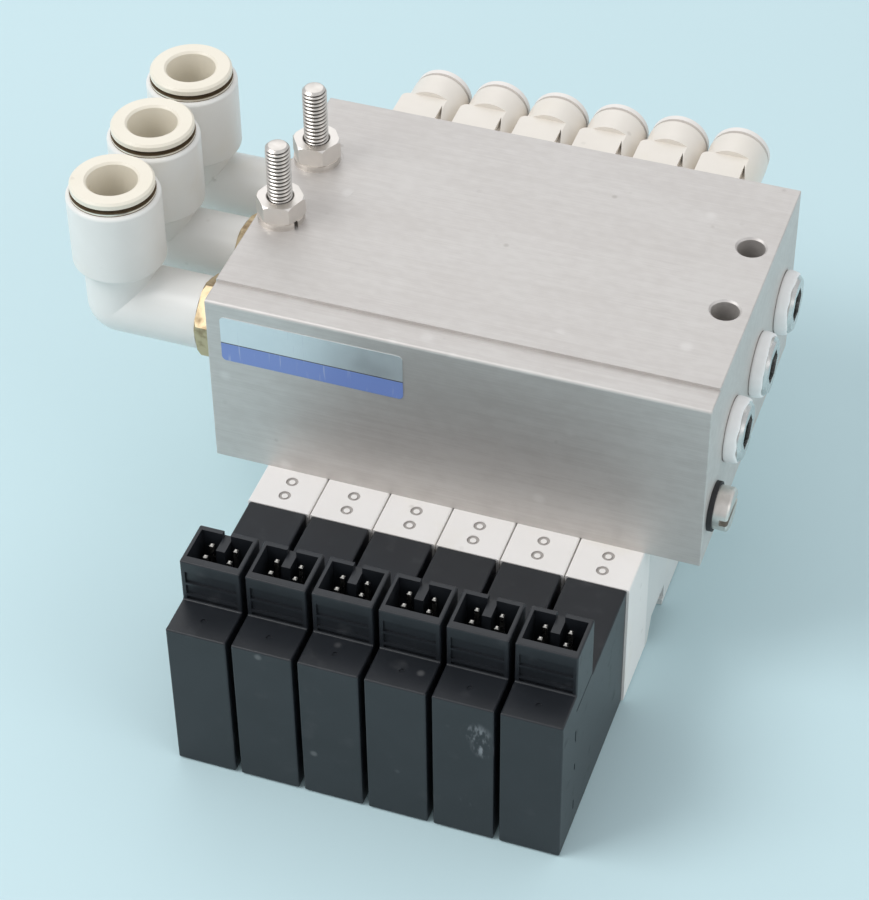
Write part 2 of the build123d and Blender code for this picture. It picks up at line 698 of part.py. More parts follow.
# Valve main body with the spool bore, its five port grooves and the relief underneath
with BuildPart() as valve_body:
    with BuildSketch(facing_x(-valve_width / 2)):
        notch_front_y = body_front_y + notch_start
        notch_rear_y = notch_front_y + notch_slope + notch_length
        with BuildLine():
            Polyline(
                (body_front_y, under_z),
                (body_front_y, floor_z),
                (notch_front_y, floor_z),
                (notch_front_y + notch_slope, notch_z),
                (notch_rear_y, notch_z),
                (notch_rear_y, floor_z + notch_hook_height),
                (notch_rear_y - notch_hook, floor_z + notch_hook_height),
                (notch_rear_y - notch_hook, floor_z),
                (body_rear_y, floor_z),
                (body_rear_y, under_z),
                close=True,
            )
        make_face()
    extrude(amount=valve_width)
    rear_corners = valve_body.edges().filter_by(Axis.Z).group_by(Axis.Y)[-1]
    fillet(rear_corners, valve_edge_radius)
    axis_centre = [(0, axis_z)]
    rod_bore = rod_diameter + 2 * running_gap
    spool_bore = land_diameter + 2 * running_gap
    along_y(axis_centre, rod_bore, body_front_y, bore_front_y)
    along_y(axis_centre, spool_bore, bore_front_y, bore_end_y)
    for y in port_ys:
        along_y(axis_centre, undercut_diameter, y - undercut_width / 2, y + undercut_width / 2)
    for y in (outlet_one_y, supply_y, outlet_two_y):
        along_z([(0, y)], valve_port_diameter, axis_z, under_z)
    for y in (exhaust_one_y, exhaust_two_y):
        along_z([(exhaust_port_side, y)], exhaust_port_diameter, axis_z, under_z)
    along_z([(0, pilot_y)], pilot_drill, feed_z, under_z)
    along_y([(0, feed_z)], pilot_drill, body_front_y, pilot_y + pilot_drill / 2)
    along_z(valve_screw_spots, screw_hole, notch_z, under_z)
    along_z([(0, rear_screw_y)], valve_screw_head + 2 * fit_gap, floor_z, notch_z)
    gasket_middle_y = (gasket_front_y + gasket_rear_y) / 2
    with BuildSketch(facing_z(under_z)):
        with Locations((0, gasket_middle_y)):
            Rectangle(gasket_width, gasket_rear_y - gasket_front_y)
    extrude(amount=-gasket_thickness, mode=Mode.SUBTRACT)
save_group(valve_body, "valve_bodies", at_stations)

# Flat gasket between a valve and the block, with a hole for each drilling
with BuildPart() as valve_gasket:
    with BuildSketch(facing_z(under_z - gasket_thickness)):
        with Locations((0, gasket_middle_y)):
            Rectangle(gasket_width, gasket_rear_y - gasket_front_y)
        with Locations(*[(0, y) for y in (outlet_one_y, supply_y, outlet_two_y)]):
            Circle((valve_port_diameter + gasket_hole_spare) / 2, mode=Mode.SUBTRACT)
        with Locations(*[(exhaust_port_side, y) for y in (exhaust_one_y, exhaust_two_y)]):
            Circle((exhaust_port_diameter + gasket_hole_spare) / 2, mode=Mode.SUBTRACT)
        with Locations((0, pilot_y)):
            Circle((pilot_drill + gasket_hole_spare) / 2, mode=Mode.SUBTRACT)
        with Locations((front_screw_side, front_screw_y)):
            Circle((valve_screw_diameter + gasket_hole_spare) / 2, mode=Mode.SUBTRACT)
    extrude(amount=gasket_thickness)
save_group(valve_gasket, "valve_gaskets", at_stations)

# Socket screws that hold a valve, one in the relief and one in a deep hole at the rear
with BuildPart() as valve_screw:
    valve_head_z = notch_z - valve_screw_head_height
    along_z(valve_screw_spots, valve_screw_head, valve_head_z, notch_z, Mode.ADD)
    along_z(valve_screw_spots, valve_screw_diameter, notch_z, valve_screw_tip_z, Mode.ADD)
    with BuildSketch(facing_z(valve_head_z)):
        with Locations(*valve_screw_spots):
            RegularPolygon(valve_screw_socket / 2, 6, major_radius=False)
    extrude(amount=valve_screw_socket_depth, mode=Mode.SUBTRACT)
save_group(valve_screw, "valve_screws", at_stations)

# Spool with its piston; at rest it joins the supply to the second outlet
with BuildPart() as spool:
    open_side = valve_port_pitch / 2 - spool_stroke
    land_ys = (
        exhaust_one_y + open_side,
        supply_y - valve_port_pitch / 2,
        supply_y + open_side,
        exhaust_two_y - valve_port_pitch / 2,
    )
    along_y(axis_centre, rod_diameter, piston_y, spool_rear_y, Mode.ADD)
    along_y(axis_centre, piston_diameter, piston_y, piston_y + piston_width, Mode.ADD)
    for y in land_ys:
        along_y(axis_centre, land_diameter, y - land_width / 2, y + land_width / 2, Mode.ADD)
    for y in (front_guide_y, rear_guide_y):
        along_y(axis_centre, land_diameter, y - guide_width / 2, y + guide_width / 2, Mode.ADD)
save_copies(spool, "spool", at_stations)

# Spring that brings a spool back
with BuildPart() as return_spring:
    coil_spring(
        spool_rear_y,
        return_spring_length,
        return_spring_diameter,
        return_spring_wire,
        return_spring_turns,
    )
save_group(return_spring, "return_springs", at_stations)

# Pilot block: piston chamber behind, pilot seat in front, two ring marks on top
with BuildPart() as pilot_block:
    with BuildSketch(facing_z(floor_z)):
        with Locations((0, (pilot_front_y + body_front_y) / 2)):
            Rectangle(valve_width, body_front_y - pilot_front_y)
    extrude(amount=valve_height)
    fillet(pilot_block.edges().filter_by(Axis.Y), valve_edge_radius)
    along_y(axis_centre, piston_diameter + 2 * running_gap, piston_chamber_y, body_front_y)
    along_y(axis_centre, orifice_diameter, pilot_front_y, feed_y)
    along_z([(0, feed_y)], pilot_drill, axis_z - orifice_diameter / 2, feed_z)
    along_y([(0, feed_z)], pilot_drill, feed_y - pilot_drill / 2, body_front_y)
    along_y([(0, axis_z - vent_drop)], orifice_diameter, pilot_front_y, piston_chamber_y)
    dimples = [(0, front_y - reach) for reach in dimple_reaches]
    dimple_floor_z = under_z - dimple_depth
    along_z(dimples, dimple_diameter, dimple_floor_z, under_z)
    pip_top_z = dimple_floor_z + dimple_pip_height
    along_z(dimples, dimple_pip_diameter, dimple_floor_z, pip_top_z, Mode.ADD)
save_group(pilot_block, "pilot_blocks", at_stations)

# Coil housing, with the shroud of its connector standing on top
with BuildPart() as coil:
    with BuildSketch(facing_x(-coil_width / 2)):
        with BuildLine():
            Polyline(
                (pilot_front_y, floor_z),
                (coil_front_y, floor_z),
                (coil_front_y, front_block_z),
                (shroud_front_y, front_block_z),
                (shroud_front_y, shroud_top_z),
                (shroud_rear_y, shroud_top_z),
                (shroud_rear_y, under_z),
                (pilot_front_y, under_z),
                close=True,
            )
        make_face()
    extrude(amount=coil_width)
    fillet(coil.edges(), coil_edge_radius)
    # Socket of the connector, with a key rib down its rear wall
    with BuildSketch(facing_z(shroud_top_z)):
        with Locations((0, (cavity_front_y + cavity_rear_y) / 2)):
            Rectangle(cavity_width, cavity_rear_y - cavity_front_y)
        with Locations((key_offset, cavity_rear_y - key_reach / 2)):
            Rectangle(key_width, key_reach, mode=Mode.SUBTRACT)
    extrude(amount=-shroud_cavity_depth, mode=Mode.SUBTRACT)
    with BuildSketch(facing_z(shroud_top_z)):
        with Locations((key_offset, (shroud_rear_y + cavity_rear_y - key_reach) / 2)):
            Rectangle(key_width, key_reach + shroud_rear_wall)
    extrude(amount=-key_notch_depth, mode=Mode.SUBTRACT)
    with BuildSketch(facing_z(cavity_floor_z)):
        with Locations(*pin_spots):
            Rectangle(pin_size + 2 * pin_gap, pin_size + 2 * pin_gap)
    extrude(amount=-pin_root - pin_gap, mode=Mode.SUBTRACT)
    # Sunk panel with two ridges on the shroud's front face
    panel_top_z = shroud_top_z - lip_height
    panel_width = coil_width - 2 * panel_margin
    with BuildSketch(facing_y(shroud_front_y)):
        with Locations((0, (panel_top_z + front_block_z) / 2)):
            Rectangle(panel_width, panel_top_z - front_block_z)
        with Locations(*[(0, shroud_top_z - drop) for drop in ridge_drops]):
            Rectangle(panel_width, ridge_height, mode=Mode.SUBTRACT)
    extrude(amount=-panel_depth, mode=Mode.SUBTRACT)
    with BuildSketch(facing_z(front_block_z)):
        with Locations((0, (coil_front_y + shroud_front_y) / 2)):
            Circle(top_dot_diameter / 2)
    extrude(amount=-top_dot_depth, mode=Mode.SUBTRACT)
    # Parting line and slots on both sides
    for side in (-1, 1):
        with BuildSketch(facing_x(side * coil_width / 2)):
            with Locations(((shroud_front_y + shroud_rear_y) / 2, shroud_top_z - side_line_drop)):
                Rectangle(shroud_depth, side_line_width)
            for drop, height in side_slots:
                with Locations((shroud_front_y, shroud_top_z - drop)):
                    Rectangle(side_slot_width, height)
        extrude(amount=-side * side_line_depth, mode=Mode.SUBTRACT)
    along_y(axis_centre, winding_diameter, winding_front_y, winding_rear_y)
    along_y(axis_centre, winding_bore, winding_rear_y, pilot_front_y)
save_copies(coil, "coil", at_stations)

# Square terminals
with BuildPart() as terminals:
    with BuildSketch(facing_z(cavity_floor_z - pin_root)):
        with Locations(*pin_spots):
            Rectangle(pin_size, pin_size)
    extrude(amount=shroud_cavity_depth + pin_root - pin_tip_drop)
    chamfer(terminals.faces().sort_by(Axis.Z)[-4:].edges(), pin_tip_chamfer)
save_group(terminals, "connector_pins", at_stations)

# Winding
with BuildPart() as winding:
    along_y(axis_centre, winding_diameter, winding_front_y, winding_rear_y, Mode.ADD)
    along_y(axis_centre, winding_bore, winding_front_y, winding_rear_y)
save_group(winding, "windings", at_stations)

# Fixed core in the front of the winding, hollowed for the plunger spring
with BuildPart() as core:
    along_y(axis_centre, plunger_diameter, winding_front_y, core_rear_y, Mode.ADD)
    along_y(axis_centre, spring_seat_diameter, core_rear_y - core_seat_depth, core_rear_y)
save_group(core, "cores", at_stations)

# Plunger that closes the pilot seat with its nose
with BuildPart() as plunger:
    plunger_seat_y = plunger_front_y + plunger_seat_depth
    along_y(axis_centre, plunger_diameter, plunger_front_y, plunger_rear_y, Mode.ADD)
    along_y(axis_centre, plunger_nose_diameter, plunger_rear_y, plunger_nose_y, Mode.ADD)
    along_y(axis_centre, spring_seat_diameter, plunger_front_y, plunger_seat_y)
save_copies(plunger, "plunger", at_stations)

# Spring between core and plunger
with BuildPart() as plunger_spring:
    coil_spring(
        core_rear_y - core_seat_depth,
        plunger_seat_y - core_rear_y + core_seat_depth,
        plunger_spring_diameter,
        plunger_spring_wire,
        plunger_spring_turns,
    )
save_group(plunger_spring, "plunger_springs", at_stations)
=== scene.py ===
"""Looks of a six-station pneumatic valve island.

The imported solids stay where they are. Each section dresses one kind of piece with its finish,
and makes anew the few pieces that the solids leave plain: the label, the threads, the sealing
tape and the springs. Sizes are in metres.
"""

import math

import bmesh
import bpy
import numpy as np
from mathutils import Matrix, Vector


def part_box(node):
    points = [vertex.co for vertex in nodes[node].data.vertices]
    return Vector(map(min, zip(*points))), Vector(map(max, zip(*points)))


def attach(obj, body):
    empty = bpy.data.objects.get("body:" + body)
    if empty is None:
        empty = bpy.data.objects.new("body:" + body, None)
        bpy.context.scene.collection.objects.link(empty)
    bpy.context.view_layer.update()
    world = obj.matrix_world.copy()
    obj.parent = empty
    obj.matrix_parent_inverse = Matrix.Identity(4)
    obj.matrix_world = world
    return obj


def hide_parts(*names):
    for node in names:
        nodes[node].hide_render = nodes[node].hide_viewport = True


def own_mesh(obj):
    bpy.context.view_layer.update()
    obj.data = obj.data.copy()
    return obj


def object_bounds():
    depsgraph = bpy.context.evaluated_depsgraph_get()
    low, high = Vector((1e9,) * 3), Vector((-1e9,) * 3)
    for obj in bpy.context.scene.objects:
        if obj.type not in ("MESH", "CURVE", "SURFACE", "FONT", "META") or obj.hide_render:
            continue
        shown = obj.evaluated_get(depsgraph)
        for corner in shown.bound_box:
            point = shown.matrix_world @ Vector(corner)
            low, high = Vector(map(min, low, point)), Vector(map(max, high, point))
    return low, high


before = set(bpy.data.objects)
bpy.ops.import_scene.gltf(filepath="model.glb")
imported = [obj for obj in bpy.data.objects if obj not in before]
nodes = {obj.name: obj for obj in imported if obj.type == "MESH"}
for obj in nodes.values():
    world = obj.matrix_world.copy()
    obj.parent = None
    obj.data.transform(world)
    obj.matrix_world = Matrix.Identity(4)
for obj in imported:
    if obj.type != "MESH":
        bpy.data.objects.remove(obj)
cad_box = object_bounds()


# Manifold block: drawn aluminium bar, sawn, milled and drilled, with a fine grain along its
# length. The finish tools that every later section uses start here.
class Tone:
    """A number that a finish works out point by point; arithmetic on it adds Math nodes."""

    def __init__(self, finish, socket):
        self.finish = finish
        self.socket = socket

    def step(self, operation, first, second=None):
        values = {0: first} if second is None else {0: first, 1: second}
        made = self.finish.node("ShaderNodeMath", {"operation": operation}, values)
        return Tone(self.finish, made.outputs[0])

    def __add__(self, other):
        return self.step("ADD", self, other)

    __radd__ = __add__

    def __sub__(self, other):
        return self.step("SUBTRACT", self, other)

    def __rsub__(self, other):
        return self.step("SUBTRACT", other, self)

    def __mul__(self, other):
        return self.step("MULTIPLY", self, other)

    __rmul__ = __mul__

    def __truediv__(self, other):
        return self.step("DIVIDE", self, other)

    def __pow__(self, other):
        return self.step("POWER", self, other)

    def or_less(self, other):
        return self.step("MINIMUM", self, other)

    def or_more(self, other):
        return self.step("MAXIMUM", self, other)

    def size(self):
        return self.step("ABSOLUTE", self)

    def past_whole(self):
        return self.step("FRACT", self)


class Finish:
    """One material: its shader, and a method that adds any node it needs."""

    def __init__(self, name, **constants):
        self.material = bpy.data.materials.new(name)
        self.material.use_nodes = True
        self.tree = self.material.node_tree
        self.shader = self.tree.nodes["Principled BSDF"]
        for socket, value in constants.items():
            self.feed(self.shader.inputs[socket.replace("_", " ")], value)

    def feed(self, socket, value):
        """Links a socket to a node's output, or gives it a number, vector or colour."""
        value = getattr(value, "socket", value)
        if isinstance(value, bpy.types.NodeSocket):
            self.tree.links.new(value, socket)
        else:
            socket.default_value = value

    def node(self, kind, settings=(), values=()):
        """Adds a node, sets its own settings first, then its sockets by name or number."""
        made = self.tree.nodes.new(kind)
        for name, value in dict(settings).items():
            setattr(made, name, value)
        for name, value in dict(values).items():
            self.feed(made.inputs[name], value)
        return made

    def place(self, stretch=(1, 1, 1), shift=(0, 0, 0)):
        """Object coordinates, stretched and moved for a pattern."""
        spot = self.node("ShaderNodeTexCoord")
        values = {"Vector": spot.outputs["Object"], "Location": shift, "Scale": stretch}
        return self.node("ShaderNodeMapping", {"vector_type": "POINT"}, values).outputs[0]

    def axes(self):
        """The point's own x, y and z in metres."""
        split = self.node("ShaderNodeSeparateXYZ", {}, {0: self.place()})
        return [Tone(self, split.outputs[axis]) for axis in "XYZ"]

    def spot(self, centre, inner, outer):
        """1 within the inner distance of a centre, fading to 0 at the outer one."""
        values = {0: self.place(), 1: centre}
        away = self.node("ShaderNodeVectorMath", {"operation": "DISTANCE"}, values)
        return 1 - self.ramp(Tone(self, away.outputs["Value"]), inner, outer)

    def noise(self, size, stretch=(1, 1, 1), detail=3.0, shift=(0, 0, 0)):
        """Soft noise whose blotches are about size metres across."""
        scaled = tuple(axis / size for axis in stretch)
        values = {"Vector": self.place(scaled, shift=shift), "Scale": 1.0, "Detail": detail}
        return Tone(self, self.node("ShaderNodeTexNoise", {}, values).outputs["Fac"])

    def ramp(self, tone, low, high, smooth=True):
        """0 below low and 1 above high, with an eased or straight climb between."""
        settings = {"interpolation_type": "SMOOTHSTEP" if smooth else "LINEAR"}
        values = {"Value": tone, "From Min": low, "From Max": high}
        return Tone(self, self.node("ShaderNodeMapRange", settings, values).outputs[0])

    def specks(self, size, share, shift=(0, 0, 0)):
        """Small round specks on a share of the cells of a cell pattern."""
        scaled = (1 / size, 1 / size, 1 / size)
        values = {"Vector": self.place(scaled, shift=shift), "Scale": 1.0}
        cells = self.node("ShaderNodeTexVoronoi", {"feature": "F1"}, values)
        core, reach = 0.08, 0.3       # a speck's solid middle and its edge, in cells
        near = 1 - self.ramp(Tone(self, cells.outputs["Distance"]), core, reach)
        split = self.node("ShaderNodeSeparateColor", {}, {0: cells.outputs["Color"]})
        chosen = self.ramp(Tone(self, split.outputs[0]), 1 - share, 1 - share + 0.02, False)
        return near * chosen

    def blend(self, share, one, other):
        """Colour one where share is 0, the other where it is 1."""
        settings = {"data_type": "RGBA"}
        values = {0: share, 6: one, 7: other}
        return self.node("ShaderNodeMix", settings, values).outputs[2]

    def relief(self, height, depth, under=None):
        """Bumps the surface by a height from 0 to 1 times a depth in metres."""
        values = {"Height": height, "Distance": depth, "Strength": 1.0}
        if under is not None:
            values["Normal"] = under
        return self.node("ShaderNodeBump", {}, values).outputs[0]

    def use(self, **links):
        """Links the shader's own sockets and returns the finished material."""
        for socket, value in links.items():
            self.feed(self.shader.inputs[socket.replace("_", " ")], value)
        return self.material


def dress(material, *names):
    """Gives CAD nodes a finish in place of the plain one they came with."""
    for name in names:
        slots = nodes[name].data.materials
        slots.clear()
        slots.append(material)


def rgb(red, green, blue):
    """Colour with full alpha."""
    return (red, green, blue, 1.0)


def block_aluminium():
    """Fine faint grain along X, soft mottling and a scatter of small nicks."""
    finish = Finish("drawn_aluminium", Metallic=0.72)
    grain = finish.noise(0.00022, (0.012, 1, 1), 2.0)
    streaks = finish.noise(0.0016, (0.03, 1, 1), 2.0)
    clouds = finish.noise(0.014, (0.6, 1, 1), 4.0)
    mottle = finish.noise(0.0012, (0.5, 1, 1), 3.0)
    nicks = finish.specks(0.0047, 0.07)
    pits = finish.specks(0.0021, 0.03, (3.1, 0.4, 1.7))
    shade = 0.28 * grain + 0.16 * streaks + 0.32 * clouds + 0.24 * mottle
    deep, pale = rgb(0.59, 0.56, 0.535), rgb(0.67, 0.645, 0.62)
    colour = finish.blend(finish.ramp(shade, 0.36, 0.64), deep, pale)
    colour = finish.blend(nicks * 0.4, colour, rgb(0.80, 0.78, 0.76))
    colour = finish.blend(pits * 0.4, colour, rgb(0.36, 0.33, 0.30))
    relief = finish.relief(grain, 0.000004)
    relief = finish.relief(nicks + pits, -0.00002, relief)
    roughness = 0.44 + 0.10 * grain + 0.10 * clouds
    return finish.use(Base_Color=colour, Roughness=roughness, Normal=relief)


dress(block_aluminium(), "manifold_block")


# Label: a foil sticker with rounded corners, silver above and blue below, without lettering.
def skin(name, rings, material, body):
    """Surface through a stack of closed rings, given as an array of ring, point and x y z.

    Neighbouring rings are joined by four-sided faces, and a ring that has shrunk to a point
    closes an end.
    """
    rings = np.asarray(rings, dtype=np.float64)
    stack, around, _ = rings.shape
    index = np.arange(stack * around).reshape(stack, around)
    ahead = np.roll(index, -1, axis=1)
    faces = np.stack([index[:-1], ahead[:-1], ahead[1:], index[1:]], axis=-1).reshape(-1, 4)
    mesh = bpy.data.meshes.new(name)
    mesh.from_pydata(rings.reshape(-1, 3).tolist(), [], faces.tolist())
    work = bmesh.new()
    work.from_mesh(mesh)
    bmesh.ops.remove_doubles(work, verts=work.verts, dist=1e-7)
    bmesh.ops.dissolve_degenerate(work, edges=work.edges, dist=1e-8)
    bmesh.ops.recalc_face_normals(work, faces=work.faces)
    work.to_mesh(mesh)
    work.free()
    mesh.materials.append(material)
    mesh.shade_smooth()
    piece = bpy.data.objects.new(name, mesh)
    bpy.context.scene.collection.objects.link(piece)
    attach(piece, body)
    return piece


def crisp(piece, degrees):
    """Keeps edges sharper than an angle hard and shades the rest smooth."""
    piece.data.set_sharp_from_angle(angle=math.radians(degrees))


block_low, block_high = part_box("manifold_block")
label_length, label_height, label_corner, label_thickness = 0.0299, 0.0086, 0.0008, 0.00012
label_left = block_low[0] + 0.0024
label_top = block_high[2] - 0.0031
label_band = 0.6          # silver part of the height
label_sunk = 0.00002      # its rim reaches this far into the block


def full_turn(points):
    """Evenly spaced angles once round."""
    return np.linspace(0, 2 * np.pi, points, endpoint=False)


def label_rings():
    """Rounded rectangle: a corner arc for each quarter turn, set out by the half sides.

    Copies of the rim, shrunk about the middle, close the front. The angles start a little off
    the axes, where the sign of the arc would be 0.
    """
    angle = full_turn(points=64) + 1e-6
    half = np.array([label_length / 2 - label_corner, label_height / 2 - label_corner])
    arc = label_corner * np.stack([np.cos(angle), np.sin(angle)], axis=-1)
    rim = arc + np.sign(arc) * half
    middle = np.array([label_left + label_length / 2, label_top - label_height / 2])
    front, back = block_low[1] - label_thickness, block_low[1] + label_sunk
    share, y = np.array([(0, front), (0.5, front), (1, front), (1, back)]).T[:, :, None]
    face = middle + rim * share[:, :, None]
    return np.stack([face[..., 0], y + 0 * angle, face[..., 1]], axis=-1)


def label_foil():
    """Silver foil with a fine black rule and a blue band; worn and faintly scratched."""
    finish = Finish("label_foil", Coat_Weight=0.35, Coat_Roughness=0.18)
    height = finish.axes()[2]
    edge = label_top - label_height * label_band
    rule_top, fade = edge + 0.00017, 0.00003
    blue = finish.ramp(height, edge + fade, edge - fade, False)
    rule = finish.ramp(height, rule_top + fade, rule_top - fade, False) * (1 - blue)
    clouds = finish.noise(0.004, (1, 1, 1), 4.0)
    scratches = finish.ramp(finish.noise(0.0004, (1, 1, 0.06), 2.0), 0.66, 0.74)
    silver = finish.blend(clouds, rgb(0.66, 0.73, 0.76), rgb(0.78, 0.85, 0.88))
    colour = finish.blend(blue, silver, rgb(0.19, 0.28, 0.62))
    colour = finish.blend(rule, colour, rgb(0.02, 0.02, 0.025))
    colour = finish.blend(scratches * 0.35, colour, rgb(0.62, 0.66, 0.74))
    metallic = 0.7 * (1 - blue) * (1 - rule)
    roughness = 0.30 + 0.2 * clouds
    return finish.use(Base_Color=colour, Metallic=metallic, Roughness=roughness)


label = skin("label_foil", label_rings(), label_foil(), "island")
crisp(label, 40)


# Mounting screws: zinc-plated M4 steel screws with rolled threads. They come up through the
# left fixing holes; their ends, nuts and split washers stand on the mounting face.
screws_low, screws_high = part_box("mounting_screws")
screw_head_height, screw_head_radius, screw_chamfer = 0.004, 0.0035, 0.0003
screw_ys = (screws_low[1] + screw_head_radius, screws_high[1] - screw_head_radius)
screw_x = (screws_low[0] + screws_high[0]) / 2
screw_radius, screw_pitch, screw_depth = 0.002, 0.0007, 0.00034
screw_neck = screw_radius * 0.97          # plain shank
tip_taper, tip_radius = 0.0005, screw_radius - 0.0006
socket_half_flats, socket_depth = 0.0015, 0.002
thread_start = -0.0012                    # height where the thread that shows begins


def zinc_plate(name, painted_shade_within=None, shine=0.0):
    """Bright zinc: warm grey metal, clouded, with painted shade near the axes of the mounting
    screws.
    """
    finish = Finish(name, Metallic=1.0)
    clouds = finish.noise(0.0012, (1, 1, 1), 4.0)
    fine = finish.noise(0.00025, (1, 1, 1), 2.0)
    deep, pale = rgb(0.60 + shine, 0.56 + shine, 0.52 + shine), rgb(0.86, 0.82, 0.77)
    colour = finish.blend(clouds, deep, pale)
    if painted_shade_within is not None:
        x, y, z = finish.axes()
        away = ((x - screw_x) ** 2 + (y.size() - screw_ys[1]) ** 2) ** 0.5
        tip_foot = screws_high[2] - tip_taper
        tip_face = finish.ramp(z, tip_foot, tip_foot + 0.0002)
        unshaded = finish.ramp(away, *painted_shade_within).or_more(tip_face)
        # Painted shade: the thread's valleys and the gap between a nut and its screw are
        # darkened; the flat tip face is left out.
        colour = finish.blend(unshaded, rgb(0.07, 0.06, 0.05), colour)
    relief = finish.relief(fine, 0.000008)
    return finish.use(Base_Color=colour, Roughness=0.22 + shine * 0.5 + 0.2 * fine, Normal=relief)


valley_shade_radii = (0.00172, 0.00188)       # radii over which the painted shade of the thread valleys ends
nut_gap_shade_radii = (0.00212, 0.00238)            # and that of the painted shade in the gap between screw and nut
zinc = zinc_plate("zinc_plate")
thread_zinc = zinc_plate("thread_zinc", valley_shade_radii)
nut_zinc = zinc_plate("nut_zinc", nut_gap_shade_radii, 0.18)


def turned(profile, turn, centre, axis):
    """Rings round a line that runs along one axis of the frame, through a centre.

    The profile is a list of pairs of a place along the line and a radius. Either is a number
    or an array by angle. A ring's points are the centre plus the radius times the angle's
    cosine and sine, along the other two axes.
    """
    along, radius = (
        np.array([np.broadcast_to(part, turn.shape) for part in parts]) for parts in zip(*profile)
    )
    across = [centre[0] + radius * np.cos(turn), centre[1] + radius * np.sin(turn)]
    return np.stack([*across[:axis], along, *across[axis:]], axis=-1)


def hexagon(turn, half_flats):
    """Radius of a hexagon by angle: half its flats over the cosine from the nearest flat."""
    sixth = np.pi / 3
    return half_flats / np.cos((turn + sixth / 2) % sixth - sixth / 2)


def thread(turn, along, crest, depth, pitch):
    """Radius of a rolled thread: it dips by a rounded V once each pitch, a turn per pitch."""
    phase = (along / pitch - turn / (2 * np.pi)) % 1.0
    dip = np.clip(1.25 * np.abs(2 * phase - 1) - 0.12, 0, 1)
    return crest - depth * (1 - dip) ** 1.2


def screw_rings(x, y):
    """Rings from the socket's floor, over the head, along the thread and to the flat tip."""
    turn = full_turn(points=60)
    socket = hexagon(turn, socket_half_flats)
    low, seat, high = screws_low[2], screws_low[2] + screw_head_height, screws_high[2]
    head = [
        (low + socket_depth, 0),
        (low + socket_depth, socket),
        (low, socket),
        (low, screw_head_radius - screw_chamfer),
        (low + screw_chamfer, screw_head_radius),
        (seat, screw_head_radius),
        (seat, screw_neck),
        (thread_start, screw_neck),
    ]
    heights = np.arange(thread_start, high - 0.00002, screw_pitch / 14)[:, None]
    crest = screw_radius - tip_taper * (1 - np.clip((high - heights) / tip_taper, 0, 1))
    cut = np.minimum(thread(turn, heights, screw_radius, screw_depth, screw_pitch), crest)
    profile = [*head, *zip(heights, cut), (high, tip_radius), (high, 0)]
    return turned(profile, turn, (x, y), 2)


for number, y in enumerate(screw_ys, 1):
    rings = screw_rings(screw_x, y)
    screw = skin(f"threaded_screw_{number}", rings, thread_zinc, "island")
    crisp(screw, 50)
    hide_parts("mounting_screws")
dress(nut_zinc, "screw_nuts")
dress(zinc, "spring_washers")


# Valve screws: small zinc-plated socket screws under the valves.
dress(zinc, "valve_screws")


# Gallery plugs: plated socket plugs. Their sockets are painted nearly black as shade.
plug_low, plug_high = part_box("gallery_plugs")
gallery_pitch = 0.016
gallery_ys = (-gallery_pitch, 0.0, gallery_pitch)
gallery_z = (plug_low[2] + plug_high[2]) / 2
socket_shade_depths = (0.0009, 0.0003)           # under the plugs' faces, where the painted shade of the sockets ends
socket_shade_radii = (0.0030, 0.0034)            # and from their axes


def plug_plate():
    """Bright plating; the socket below the face is painted nearly black as shade, with a few
    bright patches.
    """
    finish = Finish("plug_plate", Metallic=1.0)
    clouds = finish.noise(0.0015, (1, 1, 1), 4.0)
    patches = finish.ramp(finish.noise(0.0011, (1, 1, 1), 2.0), 0.56, 0.62)
    x, y, z = finish.axes()
    aside = y.size().or_less((y.size() - gallery_pitch).size())
    away = (aside ** 2 + (z - gallery_z) ** 2) ** 0.5
    face = finish.ramp(x, *(plug_high[0] - depth for depth in socket_shade_depths))
    face = face.or_more(finish.ramp(away, *socket_shade_radii))
    colour = finish.blend(clouds, rgb(0.52, 0.52, 0.51), rgb(0.80, 0.80, 0.78))
    # Painted shade inside the sockets: nearly black, with a few bright patches.
    shade_tone = finish.blend(patches, rgb(0.02, 0.018, 0.015), rgb(0.7, 0.7, 0.68))
    colour = finish.blend(face, shade_tone, colour)
    return finish.use(Base_Color=colour, Roughness=0.18 + 0.16 * clouds)


dress(plug_plate(), "gallery_plugs")


# Sealing tape: thin white tape wound on each plug's thread and squeezed out in soft folds.
def tape_white():
    """Soft white film with faint wound edges."""
    finish = Finish("sealing_tape", Coat_Weight=0.12, Coat_Roughness=0.35)
    folds = finish.noise(0.0012, (0.4, 1, 1), 3.0)
    colour = finish.blend(folds, rgb(0.88, 0.88, 0.87), rgb(0.96, 0.96, 0.95))
    relief = finish.relief(folds, 0.00008)
    return finish.use(Base_Color=colour, Roughness=0.45 + 0.1 * folds, Normal=relief)


tape_low, tape_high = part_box("sealing_tape")
plug_radius = (plug_high[2] - plug_low[2]) / 2
tape_length = tape_high[0] - tape_low[0] + 0.0004
tape_rise = (tape_high[2] - tape_low[2]) / 2 - plug_radius + 0.0001
tape_root = plug_radius - 0.0002          # inner radius, hidden in the plug's thread


